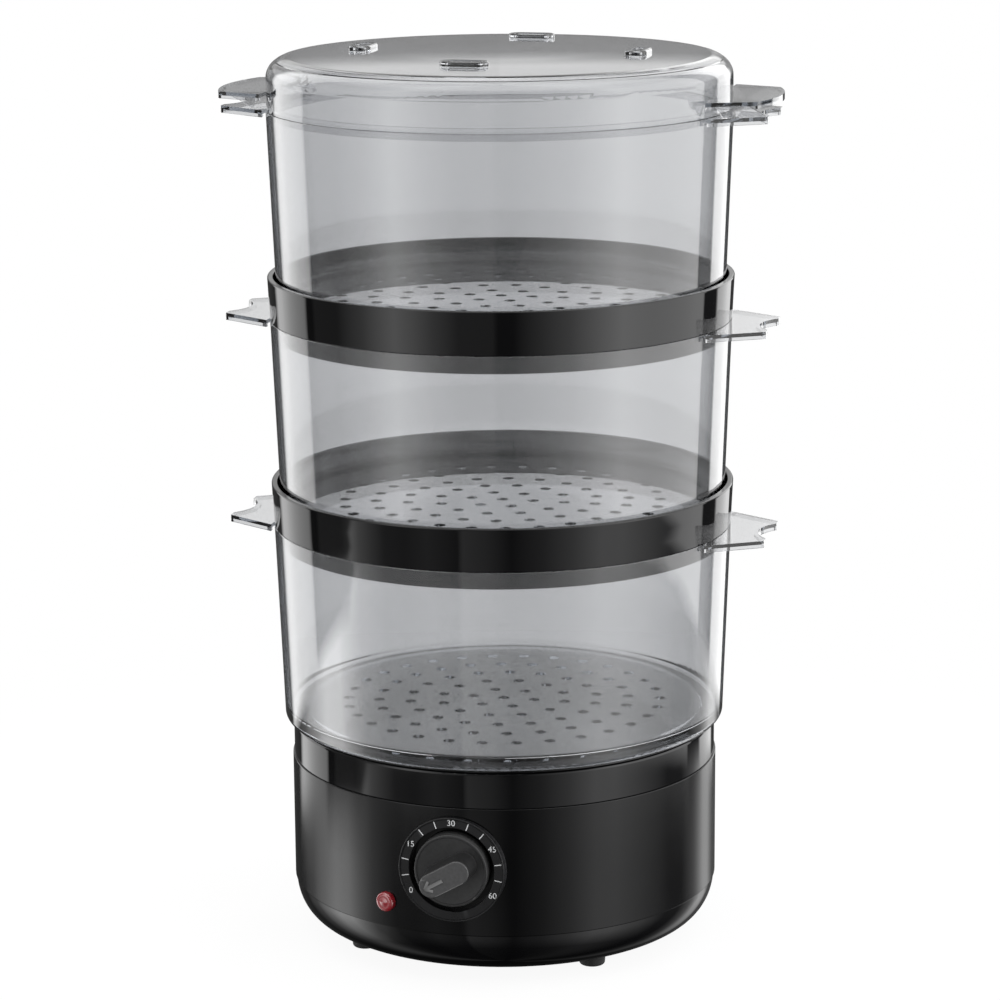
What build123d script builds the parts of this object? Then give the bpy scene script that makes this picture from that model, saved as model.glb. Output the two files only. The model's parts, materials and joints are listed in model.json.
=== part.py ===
"""Electric food steamer with three clear bowls stacked on a round black base.

Units are millimetres. The origin is on the axis of the stack, in the plane of the feet's soles.
+Z is up, the dial faces -Y, and the handles of the bowls and lid lie along X.
"""

from build123d import *
import math
import os

# ---------------------------------------------------------------- driving dimensions
WALL = 2.0                  # clear mouldings
SHELL = 2.5                 # black mouldings

# base
BASE_R = 95.0               # satin sleeve
COLLAR_R = 94.3             # glossy band above the sleeve
FOOT_H = 5.7
PAN_EDGE_R = 80.0           # where the pan's rounded side meets its flat bottom
PAN_TOP_Z = 24.0            # seam between pan and sleeve
PAN_STEP = 0.6              # pan inside the sleeve's surface at that seam
SLEEVE_TOP_Z = 81.1         # seam between sleeve and collar
COLLAR_TOP_Z = 97.2
BASIN_R = 84.0              # outside of the water basin
BASIN_FLOOR_Z = 44.0        # underside of the basin's floor
HEATER_HOLE_R = 38.0
FOOT_R = 6.0
FOOT_PCD_R = 73.0
POST_X, POST_Y = 50.0, 38.0  # screw posts that hold the pan

# dial and timer
DIAL_Z = 54.0
DIAL_R = 23.4               # round pocket in the sleeve
DIAL_BACK, DIAL_FACE = 91.4, 96.4    # scale ring, from the stack's axis
DIAL_LIP = 0.4              # raised rim round the scale
WELL_R = 18.7               # round well that the knob turns in
KNOB_BACK = 91.8
KNOB_R = 16.1
KNOB_FACE = 98.2            # knob disc's face, from the stack's axis
GRIP_RISE = 11.7            # grip above the disc
GRIP_LONG, GRIP_WIDE = 24.5, 11.5
ARROW_RISE = 0.4
KNOB_AT_ZERO = 30.0         # tilt of the grip at rest, its arrow down to the left
SHAFT_R = 3.0
CASE_FRONT, CASE_BACK = 88.0, 62.0   # timer case, from the stack's axis
CASE_W, CASE_H = 36.0, 44.0
SHEET = 1.5                 # timer case's sheet
GEAR_MODULE = 0.5
MAIN_TEETH, PINION_TEETH = 56, 12
GEAR_SLACK = 0.15           # added to the gears' centre distance
LAMP_TURN = -18.8           # degrees about Z from the front, towards -X
LAMP_Z = 35.6
LENS_R = 4.4
GLAND_Z = 38.5
CORD_R = 3.6                # bore of the cord gland

# stack of bowls
SEAT_Z = 98.4               # what the lowest bowl stands on
PITCH = 91.5                # from one bowl to the next
BOWL_H = 87.9
BOWL_LOW_R, BOWL_RIM_R = 98.0, 101.2
CORNER = 2.5                # rounded lower corner of a bowl
BOWL_FOOT_IN = 90.0         # inside of the flat ring that a bowl stands on
FLOOR_RISE = 3.0            # bowl floor above the foot
RING_H = 18.9
RING_TOP_R = 102.1
LEDGE_RISE = PITCH - BOWL_H  # ring's ledge above the rim it stands on
SKIRT = 7.8                 # ring's skirt inside the bowl below
TAB_TIP_X, TAB_TIP_W = 120.5, 19.2   # outer corner of a bowl's handle
TAB_ROOT_W = 33.6
SCALLOP = 5.5
TAB_DEEP = 3.1              # handle's lip, from its top

# lid
LID_R = 100.9
LID_H = 24.6                # top of the dome above the bowl's rim
LID_EDGE_H = 22.3           # where side and dome would meet
LID_SHOULDER = 9.9
CREASE_R, CREASE_H = 96.9, 20.6      # fine crease in the shoulder
LID_TAB_RISE = 7.3          # handle's top above the lid's rim
LID_TAB_X, LID_TAB_W = 117.9, 29.3
LID_TAB_ROOT_W = 37.4
LID_TAB_APEX = 123.5
VENT_R = 61.0
VENT_LONG, VENT_WIDE, VENT_TOP_H = 21.0, 10.0, 25.7

FRONT = Pos(0, 0, DIAL_Z) * Rot(90, 0, 0)     # local z runs out of the dial, measured from the stack's axis
LAMP = Pos(0, 0, LAMP_Z) * Rot(0, 0, LAMP_TURN) * Rot(90, 0, 0)
REAR = Pos(0, 0, GLAND_Z) * Rot(-90, 0, 0)


# ---------------------------------------------------------------- helpers
def outline(*corners):
    """Closed face through the corners (x, y) or (x, y, radius), in order."""
    points = [Vector(c[0], c[1]) for c in corners]
    radii = [c[2] if len(c) > 2 else 0 for c in corners]
    starts, ends, edges = [], [], []
    for i, here in enumerate(points):
        back = (points[i - 1] - here).normalized()
        ahead = (points[(i + 1) % len(points)] - here).normalized()
        half = math.radians(back.get_angle(ahead)) / 2
        reach = radii[i] / math.tan(half)
        starts.append(here + back * reach)
        ends.append(here + ahead * reach)
        if radii[i]:
            middle = here + (back + ahead).normalized() * (radii[i] / math.sin(half) - radii[i])
            edges.append(ThreePointArc(starts[i], middle, ends[i]))
    for i, start in enumerate(starts):
        if (start - ends[i - 1]).length > 1e-6:
            edges.append(Line(ends[i - 1], start))
    return make_face(edges)


def turned(*corners):
    """Solid of revolution about Z from an outline of (radius, height) corners."""
    return revolve(Plane.XZ * outline(*corners), axis=Axis.Z)


def rod(radius, low, high):
    """Cylinder on the Z axis between two heights."""
    return Pos(0, 0, (low + high) / 2) * Cylinder(radius, high - low)


def tube(outer, inner, low, high):
    """Hollow cylinder on the Z axis."""
    return rod(outer, low, high) - rod(inner, low - 1, high + 1)


def block(x, y, z):
    """Box between pairs of limits."""
    middle = [(a + b) / 2 for a, b in (x, y, z)]
    return Pos(*middle) * Box(x[1] - x[0], y[1] - y[0], z[1] - z[0])


def prism(face, low, high):
    """Face in the XY plane, extruded between two heights."""
    return Pos(0, 0, low) * extrude(face, high - low)


def around(count, radius, start=0.0):
    """Places evenly round the Z axis."""
    return [Rot(0, 0, start + 360 * i / count) * Pos(radius, 0, 0) for i in range(count)]


def both_ends(shape):
    """The shape and its twin, turned half round the Z axis."""
    return [shape, Rot(0, 0, 180) * shape]


def joined(shape, extras):
    """Shape with all the extras added."""
    for extra in extras:
        shape = shape + extra
    return shape


def write(name, *shapes):
    """One STEP for one node, with every solid of the shapes as it is."""
    solids = [solid for shape in shapes for solid in shape.solids()]
    body = solids[0] if len(solids) == 1 else Compound(children=solids)
    body.label = name
    export_step(body, f"parts/{name}.step")
    print(f"{name}: {len(solids)} solid(s)")


# ---------------------------------------------------------------- base shells
def base_housing():
    """Satin sleeve with the dial's pocket, the knob's well and holes for lamp and gland."""
    sleeve = turned(
        (BASE_R - SHELL, PAN_TOP_Z), (BASE_R, PAN_TOP_Z, 0.5), (BASE_R, SLEEVE_TOP_Z, 0.3),
        (BASE_R - SHELL, SLEEVE_TOP_Z),
    )
    pad = FRONT * rod(DIAL_R + 2.4, CASE_FRONT, BASE_R)
    sleeve = sleeve + (pad & rod(BASE_R - 0.5, PAN_TOP_Z, DECK_Z - 0.2))
    sleeve = sleeve - FRONT * rod(DIAL_R, DIAL_BACK, BASE_R + 5)
    sleeve = sleeve - FRONT * rod(WELL_R, DIAL_BACK - 0.5, BASE_R + 5)
    sleeve = sleeve - FRONT * rod(SHAFT_R + 2.0, CASE_FRONT - 1, BASE_R)
    for side in (-1, 1):
        sleeve = sleeve - FRONT * Pos(side * 21.0, 0, 0) * rod(1.5, CASE_FRONT - 1, BASE_R + 2)
        sleeve = sleeve - FRONT * Pos(side * 21.0, 0, 0) * rod(2.2, SCREW_SEAT, BASE_R + 2)
    sleeve = sleeve - LAMP * rod(LENS_R, BASE_R - 8, BASE_R + 5)
    return sleeve - REAR * rod(GLAND_NECK_R, BASE_R - 8, BASE_R + 5)


SCREW_SEAT = 89.4           # timer screw's head sits on this plane
GLAND_NECK_R = 6.5
DECK_Z = SLEEVE_TOP_Z - SHELL


def basin_face(inset):
    """Plan of the water basin: a circle with a bay for the timer cut out of its front."""
    bay_half, bay_back = 27.0, -54.0
    bay = Pos(0, bay_back - 30) * Rectangle(2 * (bay_half + inset), 60 + 2 * inset)
    return Circle(BASIN_R - inset) - bay


def water_reservoir():
    """Glossy collar, the deck under it, and the water basin with its heater hole and screw posts."""
    collar = turned(
        (COLLAR_R - SHELL, DECK_Z), (COLLAR_R - SHELL, COLLAR_TOP_Z, 0.6), (COLLAR_R, COLLAR_TOP_Z, 1.5),
        (COLLAR_R, SLEEVE_TOP_Z, 0.3), (BASE_R - SHELL - 0.2, SLEEVE_TOP_Z), (BASE_R - SHELL - 0.2, DECK_Z),
    )
    deck = prism(Circle(BASE_R - SHELL - 0.5) - basin_face(SHELL), DECK_Z, SLEEVE_TOP_Z)
    wall = prism(basin_face(0) - basin_face(SHELL), BASIN_FLOOR_Z, SLEEVE_TOP_Z)
    floor = prism(basin_face(0) - Circle(HEATER_HOLE_R), BASIN_FLOOR_Z, BASIN_FLOOR_Z + SHELL)
    body = collar + deck + wall + floor
    for x in (-POST_X, POST_X):
        for y in (-POST_Y, POST_Y):
            post = rod(4.5, FOOT_H + SHELL, BASIN_FLOOR_Z + 1) - rod(1.4, 0, BASIN_FLOOR_Z - 4)
            body = body + Pos(x, y, 0) * post
    for level, half in ((58.0, 6.0), (76.0, 9.0)):
        mark = block((BASIN_R - SHELL - 1.0, BASIN_R - 1), (-half, half), (level - 0.8, level + 0.8))
        body = body + mark
    return body


def base_pan():
    """Glossy lower shell with a rounded side, a lip inside the sleeve, foot sockets and air slots."""
    rise, run = PAN_TOP_Z - FOOT_H, BASE_R - PAN_STEP - PAN_EDGE_R
    floor_top = FOOT_H + SHELL
    inner_r = BASE_R - SHELL
    edges = [
        Line((0, FOOT_H), (PAN_EDGE_R, FOOT_H)),
        EllipticalCenterArc((PAN_EDGE_R, PAN_TOP_Z), run, rise, start_angle=270, arc_size=90),
        Line((BASE_R - PAN_STEP, PAN_TOP_Z), (inner_r - 0.3, PAN_TOP_Z)),
        Line((inner_r - 0.3, PAN_TOP_Z), (inner_r - 0.3, PAN_TOP_Z + 4)),
        Line((inner_r - 0.3, PAN_TOP_Z + 4), (inner_r - 2.3, PAN_TOP_Z + 4)),
        Line((inner_r - 2.3, PAN_TOP_Z + 4), (inner_r - 2.3, PAN_TOP_Z)),
        EllipticalCenterArc(
            (PAN_EDGE_R, PAN_TOP_Z), inner_r - 2.3 - PAN_EDGE_R, rise - SHELL, start_angle=270, arc_size=90
        ),
        Line((PAN_EDGE_R, floor_top), (0, floor_top)),
        Line((0, floor_top), (0, FOOT_H)),
    ]
    pan = revolve(Plane.XZ * make_face(edges), axis=Axis.Z)
    for place in around(4, FOOT_PCD_R, 45):
        pan = pan - place * rod(2.6, 0, floor_top + 1)
    for x in (-POST_X, POST_X):
        for y in (-POST_Y, POST_Y):
            pan = pan - Pos(x, y, 0) * rod(1.8, 0, floor_top + 1)
            pan = pan - Pos(x, y, 0) * rod(3.6, 0, FOOT_H + 1.2)
    for i in range(-3, 4):
        slot = Pos(i * 7.0, 0, FOOT_H) * extrude(Rot(0, 0, 90) * SlotOverall(26, 2.4), 2 * SHELL, both=True)
        pan = pan - slot
    return pan


def rubber_feet():
    """Four feet, each with a neck through the pan and a barb inside."""
    foot = turned(
        (0, 0), (FOOT_R - 0.4, 0, 1.2), (FOOT_R, FOOT_H), (2.6, FOOT_H), (2.6, FOOT_H + SHELL),
        (3.6, FOOT_H + SHELL), (2.0, FOOT_H + SHELL + 3.0), (0, FOOT_H + SHELL + 3.0),
    )
    return [place * foot for place in around(4, FOOT_PCD_R, 45)]


def cover_screws():
    """Four self-tapping screws, up through the pan into the reservoir's posts."""
    screw = rod(3.4, FOOT_H - 0.8, FOOT_H + 1.2) + rod(1.4, FOOT_H + 1, FOOT_H + 16)
    screw = screw - block((-0.5, 0.5), (-2.6, 2.6), (FOOT_H - 1, FOOT_H + 0.1))
    screw = screw - block((-2.6, 2.6), (-0.5, 0.5), (FOOT_H - 1, FOOT_H + 0.1))
    return [Pos(x, y, 0) * screw for x in (-POST_X, POST_X) for y in (-POST_Y, POST_Y)]


def cord_gland():
    """Threaded gland through the rear wall, with a dome outside and a nut inside."""
    body = turned(
        (CORD_R, BASE_R - 10), (GLAND_NECK_R - 0.1, BASE_R - 10), (GLAND_NECK_R - 0.1, BASE_R + 0.1),
        (8.5, BASE_R + 0.1), (8.5, BASE_R + 5.5), (6.6, BASE_R + 11.0, 1.0), (CORD_R, BASE_R + 11.0),
    )
    return REAR * body


def gland_nut():
    """Lock nut on the gland inside the housing."""
    nut = prism(RegularPolygon(9.0, 6), BASE_R - 7.5, BASE_R - SHELL - 1.0) - rod(GLAND_NECK_R - 0.1, 80, BASE_R)
    return REAR * nut


# ---------------------------------------------------------------- heater
PLATE_Z = BASIN_FLOOR_Z + SHELL + 1.5       # underside of the heater plate
ELEMENT_R, ELEMENT_TUBE_R = 28.0, 3.2
PIN_TURN = 20.0                             # each cold pin from the element's gap, in degrees
STUD_PCD_R = 35.0
CLAMP_T = 1.6
PIN_LOW_Z = 30.0


def heater_plate():
    """Stainless plate with a rolled rim, a dished middle and three welded studs below."""
    plate = turned(
        (0, PLATE_Z), (43.5, PLATE_Z), (43.5, PLATE_Z + 2.2, 0.5), (42.0, PLATE_Z + 2.2, 0.5),
        (40.5, PLATE_Z + 1.2), (16.0, PLATE_Z + 1.2), (12.0, PLATE_Z + 3.0), (0, PLATE_Z + 3.0),
    )
    studs = [place * rod(2.0, PLATE_Z - 12, PLATE_Z + 0.5) for place in around(3, STUD_PCD_R, 30)]
    return joined(plate, studs)


def heating_element():
    """Sheathed element bent to an open ring under the plate, with two cold pins."""
    section = Plane.XZ * Pos(ELEMENT_R, PLATE_Z - ELEMENT_TUBE_R) * Circle(ELEMENT_TUBE_R)
    ring = revolve(section, axis=Axis.Z, revolution_arc=360 - 2 * PIN_TURN)
    ring = Rot(0, 0, 90 + PIN_TURN) * ring
    pins = [
        Rot(0, 0, 90 + side * PIN_TURN) * Pos(ELEMENT_R, 0, 0)
        * rod(1.6, PIN_LOW_Z, PLATE_Z - ELEMENT_TUBE_R)
        for side in (-1, 1)
    ]
    return joined(ring, pins)


def clamp_ring():
    """Steel ring under the basin's floor that the studs pull up."""
    ring = tube(46.0, 32.5, BASIN_FLOOR_Z - CLAMP_T, BASIN_FLOOR_Z)
    for place in around(3, STUD_PCD_R, 30):
        ring = ring - place * rod(2.0, BASIN_FLOOR_Z - 5, BASIN_FLOOR_Z + 5)
    return ring


def clamp_nuts():
    """Three nuts on the heater's studs."""
    top = BASIN_FLOOR_Z - CLAMP_T
    nut = prism(RegularPolygon(4.0, 6), top - 3.2, top) - rod(2.0, top - 5, top + 5)
    return [place * nut for place in around(3, STUD_PCD_R, 30)]


def thermostat():
    """Boil-dry cut-out: a disc thermostat against the plate, with two blade terminals."""
    body = rod(7.5, PLATE_Z - 3, PLATE_Z) + rod(6.5, PLATE_Z - 9, PLATE_Z - 2)
    blades = [block((x - 1.6, x + 1.6), (-0.4, 0.4), (33, PLATE_Z - 8)) for x in (-4.5, 4.5)]
    return joined(body, blades)


def thermal_fuse():
    """One-shot fuse in a sleeve, lying against the plate beside the element."""
    return Pos(0, -15, PLATE_Z - 2.0) * Rot(0, 90, 0) * (rod(2.0, -7, 7) + rod(0.6, -13, 13))


def terminal_block():
    """Three-way block on the pan's floor, with its screw wells."""
    floor_top = FOOT_H + SHELL
    body = block((-15, 15), (56, 68), (floor_top, floor_top + 12))
    for x in (-9.5, 0, 9.5):
        body = body - Pos(x, 62, 0) * rod(2.2, floor_top + 5, floor_top + 20)
    return body


# ---------------------------------------------------------------- lamp and dial
def indicator_lens():
    """Red lens pushed through the sleeve, with a flange behind it."""
    lens = turned(
        (0, BASE_R - 5), (LENS_R + 1.6, BASE_R - 5), (LENS_R + 1.6, BASE_R - 3.4), (LENS_R - 0.05, BASE_R - 3.4),
        (LENS_R - 0.05, BASE_R + 2.4, 1.4), (0, BASE_R + 3.0),
    )
    return LAMP * lens


def lamp_holder():
    """Sleeve behind the lens that holds the neon lamp."""
    return LAMP * tube(LENS_R + 1.6, 3.3, BASE_R - 19, BASE_R - 5)


def neon_lamp():
    """Small glass lamp with two leads."""
    lamp = turned((0, BASE_R - 18), (3.0, BASE_R - 18), (3.0, BASE_R - 7, 1.5), (0, BASE_R - 6))
    leads = [Pos(x, 0, 0) * rod(0.4, BASE_R - 23, BASE_R - 17.5) for x in (-1.3, 1.3)]
    return LAMP * joined(lamp, leads)


def dial_ring():
    """Flat scale ring that stands out of the sleeve's pocket, with a raised rim."""
    rim_r = DIAL_R - 0.1
    rim = DIAL_FACE + DIAL_LIP
    ring = turned(
        (WELL_R, DIAL_BACK), (rim_r, DIAL_BACK), (rim_r, rim, 0.25), (rim_r - 0.6, rim, 0.2),
        (rim_r - 1.0, DIAL_FACE), (WELL_R, DIAL_FACE, 0.3),
    )
    return FRONT * ring


def timer_shaft():
    """Main arbor of the timer, flattened where the knob sits."""
    shaft = rod(SHAFT_R, 64, 104) + rod(2.0, CASE_BACK - SHEET, 66)
    return FRONT * (shaft - block((SHAFT_R - 1.0, 5), (-5, 5), (94, 110)))


def timer_knob():
    """Round disc with a tall grip across it and an arrow raised on the grip's top."""
    disc = turned(
        (0, KNOB_BACK), (KNOB_R, KNOB_BACK), (KNOB_R, KNOB_FACE, 0.5), (KNOB_R - 1.0, KNOB_FACE),
        (KNOB_R - 1.4, KNOB_FACE - 0.3), (0, KNOB_FACE - 1.4),
    )
    grip = Pos(0, 0, KNOB_FACE - 2) * extrude(SlotOverall(GRIP_LONG, GRIP_WIDE), GRIP_RISE + 2, taper=2.2)
    grip = fillet(grip.edges().group_by(Axis.Z)[-1], 0.5)
    stem = Pos(-5.0, 0) * Rectangle(8.6, 1.5)
    barbs = [Pos(-9.5, 0) * Rot(0, 0, turn) * Pos(1.9, 0) * Rectangle(3.8, 1.2) for turn in (38, -38)]
    arrow = prism(joined(stem, barbs), KNOB_FACE + GRIP_RISE - 0.5, KNOB_FACE + GRIP_RISE + ARROW_RISE)
    return FRONT * Rot(0, 0, KNOB_AT_ZERO) * joined(disc + grip, [arrow])


# ---------------------------------------------------------------- timer
def gear_face(teeth, tooth_at):
    """Gear outline with straight-flanked teeth, one of them centred at an angle in degrees."""
    pitch_r = GEAR_MODULE * teeth / 2
    pitch = math.pi * GEAR_MODULE
    root_r, tip_r = pitch_r - 1.15 * GEAR_MODULE, pitch_r + 0.9 * GEAR_MODULE
    points = []
    for i in range(teeth):
        middle = math.radians(tooth_at) + 2 * math.pi * i / teeth
        for radius, half in ((root_r, 0.31), (tip_r, 0.10), (tip_r, -0.10), (root_r, -0.31)):
            turn = middle - half * pitch / radius
            points.append((radius * math.cos(turn), radius * math.sin(turn)))
    return make_face(Polyline(*points, close=True))


CENTRES = GEAR_MODULE * (MAIN_TEETH + PINION_TEETH) / 2 + GEAR_SLACK
ARBOR_DIR = 50.0            # escape arbor from the main arbor, in degrees in the dial's plane
ARBOR = FRONT * Rot(0, 0, ARBOR_DIR) * Pos(CENTRES, 0, 0)
GEAR_LOW, GEAR_HIGH = 82.5, 84.0


def main_gear():
    """Great wheel on the main arbor."""
    wheel = prism(gear_face(MAIN_TEETH, ARBOR_DIR), GEAR_LOW, GEAR_HIGH)
    for place in around(5, 8.5):
        wheel = wheel - place * rod(2.4, GEAR_LOW - 1, GEAR_HIGH + 1)
    return FRONT * (wheel + rod(4.5, GEAR_LOW - 2, GEAR_HIGH) - rod(SHAFT_R, 70, 90))


def escape_arbor():
    """Arbor with the pinion and the escape wheel."""
    half_tooth = 180 / PINION_TEETH
    pinion = prism(gear_face(PINION_TEETH, 180 + half_tooth), GEAR_LOW - 0.5, GEAR_HIGH + 0.5)
    wheel = prism(gear_face(18, 0), 77.5, 78.5)
    pivot = rod(0.9, CASE_BACK - SHEET, CASE_FRONT)
    return ARBOR * (pinion + wheel + rod(2.0, 74, 82.2) + pivot)


def timer_case():
    """Folded steel case with a front plate, open at the back."""
    half_w, half_h = CASE_W / 2, CASE_H / 2
    outer = block((-half_w, half_w), (-half_h, half_h), (CASE_BACK, CASE_FRONT))
    inner = block(
        (SHEET - half_w, half_w - SHEET), (SHEET - half_h, half_h - SHEET), (CASE_BACK - 1, CASE_FRONT - SHEET)
    )
    case = FRONT * (outer - inner - rod(5.0, CASE_BACK, CASE_FRONT + 1))
    for side in (-1, 1):
        ear = block((17, 25), (-4, 4), (CASE_FRONT - SHEET, CASE_FRONT)) - Pos(21, 0, 0) * rod(1.5, 80, 90)
        case = case + FRONT * Rot(0, 0, 90 - 90 * side) * ear
        case = case - FRONT * Pos(side * 21, 0, 0) * rod(1.5, 80, 90)
    return case - ARBOR * rod(0.95, 80, 90)


def timer_back_plate():
    """Rear plate of the timer, with bearings for both arbors."""
    half_w, half_h = CASE_W / 2 + 3, CASE_H / 2
    plate = FRONT * block((-half_w, half_w), (-half_h, half_h), (CASE_BACK - SHEET, CASE_BACK))
    plate = plate - FRONT * rod(2.04, 50, 70)
    for x in (-8, 8):
        plate = plate - FRONT * block((x - 2, x + 2), (-18.4, -16.8), (CASE_BACK - 3, CASE_BACK + 1))
    return plate - ARBOR * rod(0.95, 50, 70)


def shaft_bush():
    """Brass bush that carries the main arbor in the front plate."""
    return FRONT * (tube(5.0, SHAFT_R + 0.05, CASE_FRONT - SHEET - 2, CASE_FRONT + 2.0))


def timer_screws():
    """Two screws through the sleeve's pad into the timer's ears, under the dial ring."""
    screw = rod(2.2, SCREW_SEAT, SCREW_SEAT + 1.2) + rod(1.5, CASE_FRONT - 4, SCREW_SEAT + 0.5)
    return [FRONT * Pos(side * 21.0, 0, 0) * screw for side in (-1, 1)]


def mainspring():
    """Flat spiral spring round the main arbor, its outer end hooked to the case."""
    first_r, last_r, turns, steps = 4.4, 10.4, 5, 60
    spiral = []
    for i in range(steps + 1):
        turn = 2 * math.pi * turns * i / steps
        radius = first_r + (last_r - first_r) * i / steps
        spiral.append((radius * math.cos(turn), radius * math.sin(turn)))
    start = Vector(*spiral[0])
    path = Spline(*spiral) + Line(spiral[-1], (CASE_W / 2 - SHEET, 0))
    leaf = sweep(Plane(origin=start, x_dir=(1, 0, 0), z_dir=(0, 1, 0)) * Rectangle(0.4, 4.5), path=path)
    return FRONT * Pos(0, 0, 73.8) * leaf


def switch_cam():
    """Cam on the main arbor with the notch that opens the contacts at zero."""
    cam = rod(9.0, 67.0, 70.0) - rod(SHAFT_R, 60, 75)
    return FRONT * (cam - Rot(0, 0, -90) * block((7.4, 10), (-2, 2), (66, 71)))


def switch_contacts():
    """Two spring leaves and the block that holds them below the cam."""
    holder = block((-12, 12), (-20.5, -14.5), (64, 72))
    lower = block((-11, 9), (-12.2, -11.9), (67, 70)) + block((-11, -10.4), (-15, -11.9), (67, 70))
    upper = block((-9, 11), (-10.1, -9.8), (67, 70)) + block((10.4, 11), (-15, -9.8), (67, 70))
    blades = [block((x - 1.6, x + 1.6), (-18, -17.2), (56, 64.5)) for x in (-8, 8)]
    return FRONT * joined(holder, [lower, upper] + blades)


def timer_bell():
    """Bell dome behind the timer."""
    dome = turned(
        (0, 0), (1.5, 0), (1.5, 4.4), (9, 4.4), (12.4, 3.0), (13.6, 0.8), (14.5, 0.8), (13.2, 3.8), (9.4, 5.4), (0, 5.4)
    )
    return FRONT * Pos(0, 4, CASE_BACK - SHEET) * Rot(180, 0, 0) * dome


HAMMER_X, HAMMER_Y = -17.5, -9.0        # hammer's pivot in the dial's plane


def bell_hammer():
    """Striker lever on a pivot, its head beside the bell's edge."""
    low = CASE_BACK - SHEET - 4.5
    arm = block((-1.2, 1.2), (0, 13), (low, low + 1.2)) + Pos(0, 13, 0) * rod(1.9, low, low + 2.4)
    eye = rod(2.6, low, low + 1.2) - rod(1.05, low - 1, low + 3)
    return FRONT * Pos(HAMMER_X, HAMMER_Y, 0) * (arm + eye - rod(1.05, low - 1, low + 3))


def hammer_pivot():
    """Shouldered pin on the back plate."""
    low = CASE_BACK - SHEET - 4.5
    pin = rod(1.0, low - 0.8, CASE_BACK - SHEET) + rod(2.0, low + 1.4, CASE_BACK - SHEET)
    return FRONT * Pos(HAMMER_X, HAMMER_Y, 0) * (pin + rod(1.8, low - 1.4, low - 0.2))


# ---------------------------------------------------------------- wires
def wire(*points):
    """Insulated wire on straight runs joined by arcs."""
    ends = [Vector(*p) for p in points]
    radii = []
    for before, here, after in zip(ends, ends[1:], ends[2:]):
        turn = math.radians((here - before).get_angle(after - here))
        shorter = min((here - before).length, (after - here).length)
        radii.append(round(0.45 * shorter / math.tan(turn / 2), 3))
    path = FilletPolyline(*points, radius=radii)
    start = Plane(path @ 0, z_dir=path % 0)
    return sweep(start * Circle(1.1), path=path)


def internal_wires():
    """Wires between terminal block, thermostat, element, timer and lamp."""
    pin_x = ELEMENT_R * math.sin(math.radians(PIN_TURN))
    pin_y = ELEMENT_R * math.cos(math.radians(PIN_TURN))
    top = FOOT_H + SHELL + 12
    block_top = (65, top)
    return [
        wire((-9.5, *block_top), (-9.5, 65, 27), (-12, 44, 22), (-pin_x, pin_y, 20), (-pin_x, pin_y, PIN_LOW_Z)),
        wire((9.5, *block_top), (9.5, 65, 28), (19, 42, 24), (16, 12, 20), (4.5, 0, 22), (4.5, 0, 33)),
        wire((-4.5, 0, 33), (-4.5, 0, 22), (-17, -12, 20), (-15, -34, 22), (-8, -46, 36.4), (-8, -56, 36.4)),
        wire((8, -56, 36.4), (8, -44, 36.4), (22, -28, 22), (26, 0, 20), (pin_x, pin_y, 19), (pin_x, pin_y, PIN_LOW_Z)),
    ]


# ---------------------------------------------------------------- loose pieces of the base
def steam_sleeve():
    """Open ring round the heater that gathers the steam, with water slots at its foot."""
    low = BASIN_FLOOR_Z + SHELL
    ring = tube(48.0, 46.0, low, 79.0) + tube(50.5, 47.0, 77.0, 79.0)
    for place in around(6, 47.0, 30):
        ring = ring - place * Pos(0, 0, low) * Box(8, 9, 14)
    return ring


TRAY_FLOOR_Z = 84.0
TRAY_R = 81.5
RIB_R, RIB_H = BOWL_FOOT_IN - 2.4, 2.0
CHIMNEY_R, CHIMNEY_TOP_Z = 24.0, 96.0


def drip_tray():
    """Dish with a rim on the collar, a rib that centres the bowl and a raised steam chimney."""
    tray = turned(
        (0, TRAY_FLOOR_Z), (TRAY_R, TRAY_FLOOR_Z, 2.5), (TRAY_R, COLLAR_TOP_Z), (COLLAR_R - 0.3, COLLAR_TOP_Z),
        (COLLAR_R - 0.3, SEAT_Z, 0.8), (RIB_R, SEAT_Z), (RIB_R, SEAT_Z + RIB_H), (RIB_R - WALL, SEAT_Z + RIB_H),
        (RIB_R - WALL, SEAT_Z), (TRAY_R - WALL, SEAT_Z, 0.5), (TRAY_R - WALL, TRAY_FLOOR_Z + WALL, 1.0),
        (0, TRAY_FLOOR_Z + WALL),
    )
    chimney = rod(CHIMNEY_R, TRAY_FLOOR_Z, CHIMNEY_TOP_Z)
    return tray + chimney - rod(CHIMNEY_R - WALL, TRAY_FLOOR_Z - 1, CHIMNEY_TOP_Z + 1)


# ---------------------------------------------------------------- bowls, rings and lid
def tab(root_w, tip_x, tip_w, tip_edges, top, deep, lip=1.6, plate=1.8):
    """Handle plate with a lip turned down along its outer edges."""
    root_x = BOWL_RIM_R - 4
    sides = [Line((tip_x, -tip_w), (root_x, -root_w)), Line((root_x, -root_w), (root_x, root_w)),
             Line((root_x, root_w), (tip_x, tip_w))]
    face = make_face(sides + tip_edges)
    corners = [v for v in face.vertices() if v.X > root_x + 1]
    face = fillet(corners, 1.0)
    inner = offset(face, -lip)
    inner = inner + Pos(root_x + lip / 2, 0) * Rectangle(lip + 1, 2 * root_w - 4)
    solid = prism(face, top - deep, top) - prism(inner, top - deep - 1, top - plate)
    return solid


def bowl_tab(rim_z):
    """Bowl handle: a tapered plate with a scalloped outer edge and two blunt horns."""
    horn = TAB_TIP_W - 5.0
    edges = [
        Line((TAB_TIP_X, TAB_TIP_W), (TAB_TIP_X, horn)),
        ThreePointArc((TAB_TIP_X, horn), (TAB_TIP_X - SCALLOP, 0), (TAB_TIP_X, -horn)),
        Line((TAB_TIP_X, -horn), (TAB_TIP_X, -TAB_TIP_W)),
    ]
    return tab(TAB_ROOT_W, TAB_TIP_X, TAB_TIP_W, edges, rim_z, TAB_DEEP)


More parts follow.
